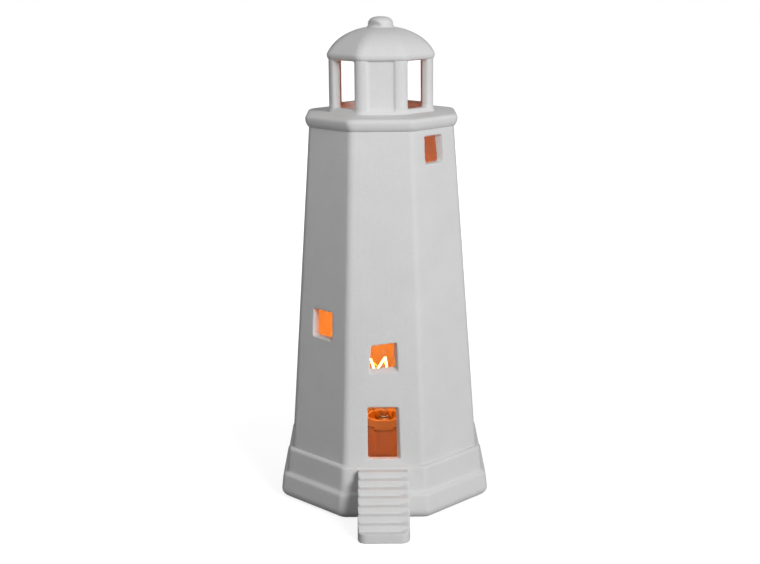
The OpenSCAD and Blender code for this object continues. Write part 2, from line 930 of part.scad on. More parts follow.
stem_flare_r = neck_r - glass_t;
stem_flare_h = 0.8;
stem_tube_r = 2.6;
stem_drop = 18;
stem_top = bulb_z + filament_z - stem_drop;
press_w = 6;
press_t = 2;
press_h = 6;
button_r = 1.5;
button_rise = 3;
button_z = stem_top + press_h + button_rise;
button_stalk_r = 0.9;
flare_cone_h = 6;
flare_cone_r = stem_flare_r - 0.6;
module bulb_stem() {
  color(clear_glass)
    on_axis() {
      translate([0, 0, neck_z]) cylinder(h = stem_flare_h, r = stem_flare_r);
      translate([0, 0, neck_z + stem_flare_h])
        cylinder(h = flare_cone_h, r1 = flare_cone_r, r2 = stem_tube_r);
      translate([0, 0, neck_z + stem_flare_h]) cylinder(h = stem_top - neck_z, r = stem_tube_r);
      translate([-press_w / 2, -press_t / 2, stem_top]) cube([press_w, press_t, press_h]);
      translate([0, 0, stem_top]) cylinder(h = button_z - stem_top, r = button_stalk_r);
      translate([0, 0, button_z]) sphere(button_r);
    }
}

// The filament zigzags round a ring: from the outer lead up to a high hook,
// down round a wide low hook, up to the second high hook and down to the inner
// lead. Each angle runs round the ring from the front.
lead_x = 2.2;
filament_low = bulb_z + filament_z - filament_h / 2;
filament_high = bulb_z + filament_z + filament_h / 2;
function on_ring(angle, height) = [
  filament_ring_r * sin(angle), -filament_ring_r * cos(angle), height
];
filament_path = [
  on_ring(-120, filament_low), on_ring(-90, filament_high), on_ring(-47, filament_low),
  on_ring(-29, filament_low), on_ring(8, filament_high), [lead_x, -lead_x, filament_low]
];
hook_indices = [1, 2, 4];
filament_r = 0.35;
filament_ball_r = 0.42;
hook_r = 0.3;
lead_r = 0.4;
// Depth to which the wires are fused into the glass
fused = 1.2;

// A rod aimed at a bend of the filament, which ends on the bend's surface
module rod_to_bend(from, bend, radius) {
  aim = (bend - from) / norm(bend - from);
  rod(from, bend - aim * filament_ball_r, radius);
}

module lead_wires() {
  color(steel)
    on_axis()
      for (side = [-1, 1])
        rod_to_bend(
          [side * lead_x, 0, stem_top + press_h - fused],
          filament_path[side < 0 ? 0 : len(filament_path) - 1], lead_r
        );
}

module filament_supports() {
  color(steel)
    on_axis()
      for (index = hook_indices) {
        bend = filament_path[index];
        reach = [bend[0], bend[1], 0] / norm([bend[0], bend[1]]);
        rod_to_bend(reach * (button_r - fused / 2) + [0, 0, button_z], bend, hook_r);
      }
}

module filament() {
  color(tungsten)
    on_axis()
      bent_wire(filament_path, filament_r, filament_ball_r);
}

stepped_plinth();
entrance_steps();
tower_shaft();
gallery_ledge();
lantern_house();
dome_roof();
roof_knob();
lamp_holder_body();
holder_collar();
holder_cap();
leaf_springs();
spring_rivets();
screw_shell();
centre_contact();
contact_insulator();
wire_terminals();
bulb_tip_contact();
bulb_cap();
bulb_insulator();
bulb_glass();
bulb_stem();
lead_wires();
filament_supports();
filament();
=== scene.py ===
import json
import math

import bmesh
import bpy
from mathutils import Matrix, Vector, noise

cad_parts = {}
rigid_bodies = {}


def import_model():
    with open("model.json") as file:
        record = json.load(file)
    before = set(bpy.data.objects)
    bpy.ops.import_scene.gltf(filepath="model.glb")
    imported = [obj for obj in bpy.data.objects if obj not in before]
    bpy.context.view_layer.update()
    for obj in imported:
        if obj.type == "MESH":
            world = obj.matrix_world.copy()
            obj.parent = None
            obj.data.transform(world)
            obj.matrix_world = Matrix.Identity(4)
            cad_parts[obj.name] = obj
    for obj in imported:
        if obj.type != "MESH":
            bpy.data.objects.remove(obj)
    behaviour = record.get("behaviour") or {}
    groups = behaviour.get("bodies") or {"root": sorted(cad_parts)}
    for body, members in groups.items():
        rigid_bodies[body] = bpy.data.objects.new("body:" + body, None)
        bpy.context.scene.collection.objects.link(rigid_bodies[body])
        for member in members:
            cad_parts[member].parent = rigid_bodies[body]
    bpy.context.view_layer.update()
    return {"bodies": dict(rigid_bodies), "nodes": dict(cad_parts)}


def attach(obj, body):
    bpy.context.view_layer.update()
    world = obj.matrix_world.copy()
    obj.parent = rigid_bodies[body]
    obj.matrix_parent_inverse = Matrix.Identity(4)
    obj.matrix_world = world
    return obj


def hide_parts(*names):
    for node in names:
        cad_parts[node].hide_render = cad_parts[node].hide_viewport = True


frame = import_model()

# ---- The stepped plinth ----
# The heaviest casting: two tiers over a hollow foot, with the floor that takes
# the lamp holder. Slip-cast white bisque, fired once, unglazed, with its edges
# sponged round by hand before the firing.

mm = 0.001
tower_y = 19.5 * mm


class Wire:
    """A socket of a node tree, so that sums on it are written as sums."""

    def __init__(self, net, socket):
        self.net, self.socket = net, socket

    def out(self, name):
        return Wire(self.net, self.socket.node.outputs[name])

    def maths(self, operation, *values):
        return self.net.node("ShaderNodeMath", {"operation": operation}, dict(enumerate(values)))

    def vector(self, operation, *others, **named):
        return self.net.node("ShaderNodeVectorMath", {"operation": operation}, {
            **dict(enumerate((self, *others))), **named})

    def parts(self):
        return self.net.node("ShaderNodeSeparateXYZ", None, {0: self})

    def __add__(self, other):
        return self.maths("ADD", self, other)

    def __radd__(self, other):
        return self.maths("ADD", other, self)

    def __sub__(self, other):
        return self.maths("SUBTRACT", self, other)

    def __rsub__(self, other):
        return self.maths("SUBTRACT", other, self)

    def __mul__(self, other):
        return self.maths("MULTIPLY", self, other)

    def __rmul__(self, other):
        return self.maths("MULTIPLY", other, self)

    def __truediv__(self, other):
        return self.maths("DIVIDE", self, other)

    def __mod__(self, other):
        return self.maths("MODULO", self, other)

    def floor(self):
        return self.maths("FLOOR", self)

    def cos(self):
        return self.maths("COSINE", self)

    def sin(self):
        return self.maths("SINE", self)


class Net:
    """A node tree, written in the order in which it runs."""

    def __init__(self, tree):
        self.tree = tree

    def node(self, kind, settings=None, values=None, out=0):
        node = self.tree.nodes.new(kind)
        for name, value in (settings or {}).items():
            if name == "stops":
                ramp = node.color_ramp
                while len(ramp.elements) < len(value):
                    ramp.elements.new(0.5)
                for element, (place, shade) in zip(ramp.elements, value):
                    element.position = place
                    element.color = (shade, shade, shade, 1)
            else:
                setattr(node, name, value)
        for name, value in (values or {}).items():
            socket = node.inputs[name]
            if isinstance(value, Wire):
                self.tree.links.new(value.socket, socket)
            else:
                socket.default_value = value
        return Wire(self, node.outputs[out])

    def point(self, x, y, z):
        return self.node("ShaderNodeCombineXYZ", None, {"X": x, "Y": y, "Z": z})


class Finish(Net):
    """A material with one Principled surface, whose even values are set on it."""

    def __init__(self, name, **even):
        self.material = bpy.data.materials.new(name)
        self.material.use_nodes = True
        super().__init__(self.material.node_tree)
        self.surface = self.tree.nodes["Principled BSDF"]
        for socket, value in even.items():
            self.surface.inputs[socket.replace("_", " ")].default_value = value
        self.place = self.node("ShaderNodeTexCoord", out="Object")

    def grain(self, scale, detail=2.0, roughness=0.5, place=None):
        return self.node("ShaderNodeTexNoise", None, {
            "Vector": place or self.place, "Scale": scale, "Detail": detail,
            "Roughness": roughness})

    def blend(self, share, one, other):
        return self.node("ShaderNodeMix", {"data_type": "RGBA"}, {
            "Factor": share, 7: (*other, 1), 6: one if isinstance(one, Wire) else (*one, 1)}, out=2)

    def relief(self, height, depth):
        return self.node("ShaderNodeBump", None, {
            "Height": height, "Distance": depth, "Strength": 1.0})

    def feed(self, **sockets):
        for name, wire in sockets.items():
            self.tree.links.new(wire.socket, self.surface.inputs[name.replace("_", " ")])
        return self.material


def bisque_finish():
    """White earthenware: faint clouds, fine open grain, a few pin holes, painted
    darker as painted shade in them, and the upright streaks that the sponge left."""
    finish = Finish("bisque", Specular_IOR_Level=0.2)
    clouds = finish.grain(38, 3)
    grain = finish.grain(1300, 2, 0.6)
    at = finish.place.parts()
    upright = finish.point(at, at.out("Y"), 0.04 * at.out("Z"))
    streaks = finish.grain(420, place=upright)
    pores = finish.node("ShaderNodeTexVoronoi", {"feature": "F1"}, {
        "Vector": finish.place, "Scale": 300})
    pin_holes_and_painted_shade = finish.node("ShaderNodeValToRGB", {"stops": [(0.0, 1.0), (0.07, 0.0)]}, {
        "Fac": pores})
    # The pin holes are painted darker, as painted shade in them.
    shade = 0.45 * clouds + 0.55 * grain - 0.3 * pin_holes_and_painted_shade
    height = 0.45 * grain + 0.4 * finish.grain(420) + 0.5 * streaks - 0.4 * pin_holes_and_painted_shade
    return finish.feed(
        Base_Color=finish.blend(shade, (0.575, 0.575, 0.575), (0.765, 0.765, 0.765)),
        Roughness=0.80 + 0.14 * grain,
        Normal=finish.relief(height, 0.15 * mm))


bisque = bisque_finish()


class Growth(Net):
    """A Geometry Nodes tree that makes a piece from a geometry, from sizes with
    names and from a finish."""

    def __init__(self, name, inputs):
        super().__init__(bpy.data.node_groups.new(name, "GeometryNodeTree"))
        for socket, kind in {**inputs, "Finish": "Material"}.items():
            self.tree.interface.new_socket(
                socket, in_out="INPUT", socket_type="NodeSocket" + kind)
        self.tree.interface.new_socket(
            "Piece", in_out="OUTPUT", socket_type="NodeSocketGeometry")
        self.given = self.node("NodeGroupInput")

    def skin(self, columns):
        """A grid with a row for each point of the given section, and for each of
        its vertices the point and the column."""
        levels = self.node("GeometryNodeAttributeDomainSize", None, {"Geometry": self.given})
        rows = levels + 1
        grid = self.node("GeometryNodeMeshGrid", None, {
            "Vertices X": columns, "Vertices Y": rows})
        index = self.node("GeometryNodeInputIndex")
        level = self.node("GeometryNodeSampleIndex", {"data_type": "FLOAT_VECTOR"}, {
            "Geometry": self.given, "Value": self.node("GeometryNodeInputPosition"),
            "Index": (index % rows) % levels})
        return grid, level.parts(), ((index + 0.5) / rows).floor()

    def swept(self, grid, x, y, z):
        """The grid bent round the tower's axis, with its seam closed."""
        place = self.point(x, y + self.given.out("Axis behind"), z)
        bent = self.node("GeometryNodeSetPosition", None, {"Geometry": grid, "Position": place})
        return self.node("GeometryNodeMergeByDistance", None, {
            "Geometry": bent, "Distance": 0.001 * mm})

    def made(self, shape):
        """The tree, which gives the shape as one real mesh in the finish."""
        real = self.node("GeometryNodeRealizeInstances", None, {"Geometry": shape})
        piece = self.node("GeometryNodeSetMaterial", None, {
            "Geometry": real, "Material": self.given.out("Finish")})
        result = self.tree.nodes.new("NodeGroupOutput")
        self.tree.links.new(piece.socket, result.inputs["Piece"])
        return self.tree


def octagon_casting_tree():
    """Sweeps a wall's closed section round an octagon with round corners. Each
    point of the section holds half the width across flats, the corner's radius
    and the height, as x, y and z."""
    net = Growth("octagon casting", {
        "Section": "Geometry", "Corner steps": "Int", "Axis behind": "Float"})
    corner_steps = net.given.out("Corner steps")
    side = corner_steps + 1
    grid, width, column = net.skin(8 * side + 1)
    corner_r = width.out("Y")
    corner = ((column + 0.5) / side).floor()
    step = column - corner * side
    eighth = math.radians(45)
    middle = eighth * corner + eighth / 2
    turn = eighth * corner + eighth * step / corner_steps
    reach = (width - corner_r) / math.cos(eighth / 2)
    return net.made(net.swept(
        grid, reach * middle.cos() + corner_r * turn.cos(),
        reach * middle.sin() + corner_r * turn.sin(), width.out("Z")))


octagon_casting = octagon_casting_tree()


def new_object(name, data):
    thing = bpy.data.objects.new(name, data)
    bpy.context.scene.collection.objects.link(thing)
    return thing


def mesh_from(shape, name):
    """A new mesh of what the bmesh holds, which is freed."""
    mesh = bpy.data.meshes.new(name)
    shape.to_mesh(mesh)
    shape.free()
    return mesh


def shade_round(piece, sharp=None):
    """Shades a piece's faces as one surface, but for edges past sharp degrees."""
    piece.data.polygons.foreach_set("use_smooth", [True] * len(piece.data.polygons))
    if sharp:
        piece.data.set_sharp_from_angle(angle=math.radians(sharp))


def settle(thing, name):
    """The object as its modifiers leave it, as a plain mesh under a new name."""
    bpy.context.view_layer.update()
    graph = bpy.context.evaluated_depsgraph_get()
    mesh = bpy.data.meshes.new_from_object(thing.evaluated_get(graph))
    bpy.data.objects.remove(thing)
    mesh.name = name
    return new_object(name, mesh)


def grown(name, points, tree, inputs, edges=()):
    """What a tree makes of points or of the line through them, as a plain mesh.
    Its inputs are set by their sockets' identifiers."""
    mesh = bpy.data.meshes.new(name + " points")
    mesh.from_pydata(points, edges, [])
    raw = new_object(name + " raw", mesh)
    growth = raw.modifiers.new("growth", "NODES")
    growth.node_group = tree
    for item in tree.interface.items_tree:
        if item.in_out == "INPUT" and item.name in inputs:
            growth[item.identifier] = inputs[item.name]
    return settle(raw, name)


def face_outwards(mesh):
    """Merges a mesh's doubles, drops its loose points and turns its faces out."""
    shape = bmesh.new()
    shape.from_mesh(mesh)
    bmesh.ops.remove_doubles(shape, verts=shape.verts, dist=0.0005 * mm)
    loose = [vertex for vertex in shape.verts if not vertex.link_faces]
    bmesh.ops.delete(shape, geom=loose, context="VERTS")
    bmesh.ops.recalc_face_normals(shape, faces=shape.faces)
    shape.to_mesh(mesh)
    shape.free()


waver_depth, coarse_waver, fine_waver = 0.12, 70, 210


def sponged(thing, name, grid, passes, keep):
    """Softens a raw form's edges as a damp sponge does, lets its faces waver
    inwards by about waver_depth, and thins the mesh to the share to keep."""
    remesh = thing.modifiers.new("slip", "REMESH")
    remesh.mode = "VOXEL"
    remesh.voxel_size = grid * mm
    sponge = thing.modifiers.new("sponge", "SMOOTH")
    sponge.iterations = passes
    wet = settle(thing, name + " wet")
    vertices = wet.data.vertices
    places, ways = [0.0] * 3 * len(vertices), [0.0] * 3 * len(vertices)
    vertices.foreach_get("co", places)
    vertices.foreach_get("normal", ways)
    for i in range(0, len(places), 3):
        here = Vector(places[i:i + 3])
        waver = (0.5 + 0.4 * noise.noise(here * coarse_waver)
                 + 0.25 * noise.noise(here * fine_waver))
        places[i:i + 3] = here - Vector(ways[i:i + 3]) * (max(0.0, waver) * waver_depth * mm)
    vertices.foreach_set("co", places)
    thin = wet.modifiers.new("thin", "DECIMATE")
    thin.ratio = keep
    piece = settle(wet, name)
    shade_round(piece)
    piece.data.materials.clear()
    piece.data.materials.append(bisque)
    return piece


def cast(name, section, cutters, grid, passes, keep=0.3):
    """One casting: its section of (height, half width, corner radius) points
    swept round, cut by hand and sponged."""
    raw = grown(
        name + " swept", [(a * mm, r * mm, z * mm) for z, a, r in section], octagon_casting,
        {"Corner steps": 8, "Axis behind": tower_y, "Finish": bisque})
    face_outwards(raw.data)
    for cutter in cutters:
        cut = raw.modifiers.new("cut", "BOOLEAN")
        cut.operation = "DIFFERENCE"
        cut.solver = "EXACT"
        cut.object = cutter
    if cutters:
        raw = settle(raw, name + " cut")
        for cutter in cutters:
            bpy.data.objects.remove(cutter)
    return sponged(raw, name, grid, passes, keep)


plinth_a, lower_top_a, upper_foot_a, upper_top_a, tower_foot_a = 71.8, 70.6, 67.7, 66.5, 63.6
lower_h, plinth_h, ledge_fall, ledge_drop = 18.6, 36.4, 0.7, 1.6
recess_h, floor_top, lamp_hole_r = 14.0, 20.0, 17.0
foot_round, foot_inner_a, plinth_corner_r, inner_r = 6.2, 62.8, 6.0, 2.0
wall, floor_fillet = 5.5, 2.9
cord_hole_r, cord_hole_z = 4.0, 8.5


def arc(start, end, count):
    """The angles of an arc's points, from start to end degrees."""
    return [math.radians(start + (end - start) * step / count) for step in range(count + 1)]


plinth_section = [
    (floor_top, lamp_hole_r, lamp_hole_r), (recess_h, lamp_hole_r, lamp_hole_r),
    (recess_h, foot_inner_a, inner_r), (0, foot_inner_a, inner_r)]
for angle in arc(90, 0, 8):
    plinth_section.append((
        foot_round * (1 - math.sin(angle)), plinth_a - foot_round * (1 - math.cos(angle)),
        plinth_corner_r))
for top, outer_a, inner_a in (
        (lower_h, lower_top_a, upper_foot_a), (plinth_h, upper_top_a, tower_foot_a)):
    for angle in arc(0, 90, 6):
        plinth_section.append((
            top - ledge_fall - ledge_drop * (1 - math.sin(angle)),
            inner_a + (outer_a - inner_a) * math.cos(angle), plinth_corner_r))
plinth_section += [
    (plinth_h, tower_foot_a - wall, inner_r),
    (floor_top, tower_foot_a - wall + floor_fillet, inner_r)]


def drill(name, radius, start, end, height):
    """A round cutter along Y, measured from the tower's axis."""
    shape = bmesh.new()
    bmesh.ops.create_cone(
        shape, segments=48, cap_ends=True, radius1=radius * mm, radius2=radius * mm,
        depth=(end - start) * mm,
        matrix=Matrix.Translation((0, tower_y + (start + end) / 2 * mm, height * mm))
        @ Matrix.Rotation(math.radians(90), 4, "X"))
    return new_object(name, mesh_from(shape, name))


cord_drill = drill("cord drill", cord_hole_r, foot_inner_a - 4.8, plinth_a + 4.2, cord_hole_z)
plinth = cast("plinth", plinth_section, [cord_drill], grid=0.8, passes=5)
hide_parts("stepped_plinth")
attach(plinth, "lighthouse")

# ---- The entrance steps ----
# A solid block of eight treads, pressed in a mould and luted to the plinth's
# front. The treads' grooves were cut from the left, and die out at the right.

steps_w, steps_run, step_count, steps_shift, foot_rise = 34.0, 39.0, 8, 0.7, 2.5
landing_z = plinth_h - ledge_fall - ledge_drop - 0.3
landing_edge = upper_top_a + steps_run / step_count
steps_reach = plinth_a + steps_run
steps_corner_r, steps_back = 6.0, upper_top_a - 3.0
tread = (steps_reach - landing_edge) / (step_count - 1)
riser = (landing_z - foot_rise) / step_count
groove_at, groove_half, groove_depth, riser_share = 0.34, 0.11, 0.3, 0.86
slope_drop, rubbed_from, rubbed_w, rubbed_share = 0.9, 6.5, 5.5, 0.85
notch_w, notch_depth = 4.0, 0.8


def ease(share):
    share = max(0.0, min(1.0, share))
    return share * share * (3 - 2 * share)


def flight_height(forward):
    """Height of the worn treads and of the slope just under their noses, at a
    distance forward of the tower's axis, and how near a groove is."""
    past = (forward - landing_edge) / tread
    if past <= 0:
        return landing_z, landing_z, 0.0
    down = min(math.floor(past), step_count - 2)
    along = past - down
    groove = math.exp(-((along - groove_at) / groove_half) ** 2)
    fall = down + riser_share * ease(along / groove_at) + (1 - riser_share) * along
    stepped = landing_z - riser * fall - groove_depth * groove
    return stepped, landing_z - riser * past - slope_drop, groove


def steps_mesh(row_count=260, column_count=80):
    """The block of steps, with its right edge rubbed down and its front corners
    rounded."""
    rows = [steps_back + (steps_reach - steps_back) * i / row_count for i in range(row_count + 1)]
    columns = [-steps_w / 2 + steps_w * i / column_count for i in range(column_count + 1)]
    shape = bmesh.new()
    tops, feet = [], []
    for forward in rows:
        top_row, foot_row = [], []
        stepped, slope, groove = flight_height(forward)
        for x in columns:
            edge = rubbed_share * ease((x - steps_w / 2 + rubbed_from) / rubbed_w)
            height = stepped + max(0.0, slope - stepped) * edge
            inset = max(0.0, abs(x) - (steps_w / 2 - steps_corner_r))
            round_end = math.sqrt(max(0.0, steps_corner_r ** 2 - inset ** 2))
            reach = min(forward, steps_reach - steps_corner_r + round_end)
            notch = notch_depth * groove * max(0.0, 1 - (x + steps_w / 2) / notch_w)
            place = (x + notch - steps_shift) * mm, tower_y - reach * mm
            top_row.append(shape.verts.new((*place, max(height, 0.3) * mm)))
            foot_row.append(shape.verts.new(((x - steps_shift) * mm, tower_y - reach * mm, 0)))
        tops.append(top_row)
        feet.append(foot_row)
    for i in range(row_count):
        for j in range(column_count):
            shape.faces.new((tops[i][j], tops[i][j + 1], tops[i + 1][j + 1], tops[i + 1][j]))
            shape.faces.new((feet[i][j], feet[i + 1][j], feet[i + 1][j + 1], feet[i][j + 1]))
        for j in (0, column_count):
            shape.faces.new((tops[i][j], tops[i + 1][j], feet[i + 1][j], feet[i][j]))
    for i in (0, row_count):
        for j in range(column_count):
            shape.faces.new((tops[i][j], tops[i][j + 1], feet[i][j + 1], feet[i][j]))
    bmesh.ops.recalc_face_normals(shape, faces=shape.faces)
    return mesh_from(shape, "steps raw")


steps = sponged(new_object("steps raw", steps_mesh()), "steps", 0.42, 5, 0.3)
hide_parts("entrance_steps")
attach(steps, "lighthouse")

# ---- The tower shaft ----
# A tall tapered casting, open below and above. The doorway and the windows were
# cut by hand with a fettling knife while the clay was leather hard.

tower_top_a, gallery_z, tower_corner_r = 48.3, 258.0, 7.0
tower_h = gallery_z - plinth_h


def tower_a(height):
    """Half the tower's width across flats, at a height above its foot."""
    return tower_foot_a + (tower_top_a - tower_foot_a) * height / tower_h


def hand_cut(width, height, sill, lean=0.0, shift=0.0):
    """An opening's corners as (across, height), from the lower left. Its head
    rises and its left side leans in by the lean."""
    return [
        (shift - width / 2, sill - lean / 4), (shift + width / 2, sill + lean / 4),
        (shift + width / 2, sill + height + lean / 2),
        (shift - width / 2 + lean * 0.7, sill + height - lean * 0.7)]


def softened(corners, radius=0.4):
    """The same outline with each corner rounded by a short curve."""
    points = [Vector(corner) for corner in corners]
    outline = []
    for i, here in enumerate(points):
        start = here + radius * (points[i - 1] - here).normalized()
        end = here + radius * (points[(i + 1) % 4] - here).normalized()
        for step in range(4):
            t = step / 3
            outline.append(start * (1 - t) ** 2 + here * 2 * t * (1 - t) + end * t ** 2)
    return outline


def knife(name, face, ends):
    """A cutter through one of the tower's faces, that joins outlines, each given
    with its distance from the tower's axis."""
    shape = bmesh.new()
    turn = Matrix.Translation((0, tower_y, 0)) @ Matrix.Rotation(math.radians(45 * face), 4, "Z")
    rings = [
        [shape.verts.new(turn @ Vector((x * mm, -reach * mm, z * mm)))
         for x, z in softened(corners)]
        for reach, corners in ends]
    shape.faces.new(rings[0])
    shape.faces.new(list(reversed(rings[-1])))
    for near, far in zip(rings, rings[1:]):
        for i in range(len(near)):
            j = (i + 1) % len(near)
            shape.faces.new((near[j], near[i], far[i]))
            shape.faces.new((near[j], far[i], far[j]))
    bmesh.ops.recalc_face_normals(shape, faces=shape.faces)
    return new_object(name, mesh_from(shape, name))


def through(corners, face_a, thickness, left_taper, right_taper, sill_rise, rounding=0.0):
    """The outlines of a cut through a wall, which closes in towards the inside.
    Rounding is how far its outer edge is rubbed down."""
    ends = []
    for depth, flare in ((-2.5, 2.0), (0.0, 1.0), (0.3, 0.4), (1.0, 0.0), (None, 0.0)):
        depth = thickness + 2.5 if depth is None else depth * max(1.0, rounding)
        share, flare = depth / thickness, flare * rounding
        (x0, z0), (x1, z1), (x2, z2), (x3, z3) = corners
        ends.append((face_a - depth, [
            (x0 + left_taper * share - flare, z0 + sill_rise * share - flare),
            (x1 - right_taper * share + flare, z1 + sill_rise * share - flare),
            (x2 - right_taper * share + flare, z2 + flare),
            (x3 + left_taper * share - flare, z3 + flare)]))
    return ends


foot_lap, top_lap, lap_taper = 3.0, 2.5, 0.2
tower_section = [
    (gallery_z + top_lap, tower_top_a - wall, inner_r),
    (plinth_h - foot_lap, tower_foot_a - wall + lap_taper, inner_r),
    (plinth_h - foot_lap, tower_foot_a + lap_taper, tower_corner_r),
    (plinth_h, tower_foot_a, tower_corner_r), (gallery_z, tower_top_a, tower_corner_r),
    (gallery_z + top_lap, tower_top_a - lap_taper, tower_corner_r)]
jamb_taper, sill_taper, middle_sill_taper = 2.4, 0.9, 2.6
right_h, right_head = 18.1, 4.9
tower_cuts = [
    knife(name, face, through(
        hand_cut(width, height, plinth_h + sill, lean, shift),
        tower_a(sill + height / 2), wall, 0, jamb_taper, sill_rise))
    for name, face, width, height, sill, lean, shift, sill_rise in (
        ("door cut", 0, 21.2, 35.4, 3.5, 0, -0.3, 0),
        ("middle cut", 0, 18.7, 19.0, 62.8, 1.8, 0, middle_sill_taper),
        ("left cut", -1, 18.4, 18.9, 81.6, 0, 0, sill_taper),
        ("right cut", 1, 17.4, right_h, tower_h - right_head - right_h, 0, -0.4, sill_taper))]
tower = cast("tower", tower_section, tower_cuts, grid=0.65, passes=3, keep=0.12)
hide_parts("tower_shaft")
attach(tower, "lighthouse")

# ---- The gallery ----
# A ring with a rolled lip, cast by itself and luted on the tower's top. The wet
# sponge drew the lip down a little over the shaft.

gallery_t, lip_out, lip_round, lip_rise, lip_drop, top_fall = 9.1, 2.5, 4.2, 5.9, 1.3, 1.1
lantern_z = gallery_z + gallery_t
lantern_a, lantern_wall = 34.8, 5.0
lip_a = tower_top_a + lip_out
gallery_section = [
    (lantern_z, lantern_a + 1, tower_corner_r), (lantern_z, lantern_a - lantern_wall, inner_r),
    (gallery_z, lantern_a - lantern_wall, inner_r), (gallery_z, tower_top_a - 1, tower_corner_r),
    (gallery_z - lip_drop, tower_top_a - 1, tower_corner_r)]
for angle in arc(-90, 90, 16):
    half = lip_rise + lip_drop if angle < 0 else gallery_t - lip_rise - top_fall
    gallery_section.append((
        gallery_z + lip_rise + half * math.sin(angle),
        lip_a - lip_round * (1 - math.cos(angle)), tower_corner_r))
gallery = cast("gallery", gallery_section, (), grid=0.8, passes=10)
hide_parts("gallery_ledge")
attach(gallery, "lighthouse")

# ---- The lantern house ----
# A short octagonal casting. The four diagonal windows are cut out, and the four
# faces between them keep their shallow moulded panels. A fillet of slip, left
# by the luting, spreads its foot on the gallery.

lantern_h, lantern_corner_r, lantern_lap = 35.2, 6.5, 1.5
eave_z = lantern_z + lantern_h
lantern_section = [
    (eave_z + lantern_lap, lantern_a - lantern_wall, inner_r),
    (lantern_z - lantern_lap, lantern_a - lantern_wall, inner_r),
    (lantern_z - lantern_lap, lantern_a + 1.2, lantern_corner_r),
    (lantern_z, lantern_a + 1.0, lantern_corner_r),
    (lantern_z + 1.0, lantern_a + 0.35, lantern_corner_r),
    (lantern_z + 2.6, lantern_a, lantern_corner_r),
    (eave_z + lantern_lap, lantern_a, lantern_corner_r)]
window_w, window_h, window_sill, window_taper, window_rubbed = 19.0, 31.0, 3, 1.8, 1.1
window = through(
    hand_cut(window_w, window_h, lantern_z + window_sill), lantern_a, lantern_wall,
    window_taper, window_taper, 0, window_rubbed)
panel_w, panel_h, panel_sill, panel_depth = 18.0, 32.8, 2, 1.2
panel_corners = hand_cut(panel_w, panel_h, lantern_z + panel_sill)
panel = [(lantern_a + 2, panel_corners), (lantern_a - panel_depth, panel_corners)]
lantern_cuts = [knife("window cut", face, window) for face in (1, 3, 5, 7)]
lantern_cuts += [knife("panel cut", face, panel) for face in (0, 2, 4, 6)]
lantern = cast("lantern", lantern_section, lantern_cuts, grid=0.6, passes=12)
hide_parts("lantern_house")
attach(lantern, "lighthouse")

# ---- The roof ----
# A hollow dome whose eight sides rise in one curve, cast with its eave, and a
# solid knob luted on the crown.

eave_h, eave_out, dome_rise, dome_drop, crown_r = 3.6, 1.2, 16.7, 8.8, 10.2
dome_out = eave_out / 2
dome_z, dome_a = eave_z + eave_h, lantern_a + dome_out
dome_middle_z, curve_rise = dome_z - dome_drop, dome_rise + dome_drop
curve_a = dome_a / math.sqrt(1 - (dome_drop / curve_rise) ** 2)
eave_angle = math.asin(dome_drop / curve_rise)
crown_angle = math.acos(crown_r / curve_a)
crown_z = dome_middle_z + curve_rise * math.sin(crown_angle)
inner_a, inner_rise, inner_angle = lantern_a - lantern_wall, dome_rise + eave_h - 6.0, 68
eave_top_drop, eave_under, eave_round, eave_gain, crown_gain = 0.7, 0.3, 1.6, 1.5, 2
dome_section = [(eave_z + inner_rise * math.sin(math.radians(inner_angle)), 0, 0)]
for angle in arc(inner_angle, 0, 12):
    dome_section.append((
        eave_z + inner_rise * math.sin(angle), inner_a * math.cos(angle), inner_r))
for step, angle in enumerate(arc(0, 90, 9)):
    dome_section.append((
        dome_z - eave_top_drop - (eave_h + eave_under) * math.cos(angle),
        lantern_a + eave_out - eave_round * (1 - math.sin(angle)),
        lantern_corner_r + eave_gain * step / 9))
for step in range(1, 21):
    angle = eave_angle + (crown_angle - eave_angle) * step / 20
    dome_section.append((
        dome_middle_z + curve_rise * math.sin(angle), curve_a * math.cos(angle),
        lantern_corner_r + eave_gain + crown_gain * step / 20))
dome_section.append((crown_z, 0, 0))
dome = cast("dome", dome_section, (), grid=0.7, passes=10)
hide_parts("dome_roof")
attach(dome, "lighthouse")


def turned(name, outline, finish, turns=96):
    """A piece turned round the tower's axis from (radius, height) points."""
    shape = bmesh.new()
    rings = []
    for radius, height in outline:
        if radius < 1e-6:
            rings.append([shape.verts.new((0, tower_y, height * mm))] * turns)
            continue
        rings.append([
            shape.verts.new((
                radius * mm * math.cos(2 * math.pi * i / turns),
                tower_y + radius * mm * math.sin(2 * math.pi * i / turns), height * mm))
            for i in range(turns)])
    for low, high in zip(rings, rings[1:]):
        for i in range(turns):
            j = (i + 1) % turns
            corners = []
            for vertex in (low[i], low[j], high[j], high[i]):
                if vertex not in corners:
                    corners.append(vertex)
            if len(corners) > 2:
                shape.faces.new(corners)
    bmesh.ops.recalc_face_normals(shape, faces=shape.faces)
    piece = new_object(name, mesh_from(shape, name))
    piece.data.materials.append(finish)
    shade_round(piece)
    return piece


knob_r, knob_h, knob_shoulder, luting_h = 8.5, 7.0, 0.77, 1.2
knob_outline = [
    (0, crown_z - 0.8), (knob_r + 1.6, crown_z - 0.8), (knob_r + 1.2, crown_z),
    (knob_r + 0.6, crown_z + 0.35), (knob_r + 0.2, crown_z + 0.8)]
for angle in arc(0, 90, 32):
    knob_outline.append((
        knob_r * math.cos(angle) ** knob_shoulder,
        crown_z + luting_h + (knob_h - luting_h) * math.sin(angle) ** knob_shoulder))
knob = turned("knob", knob_outline, bisque)
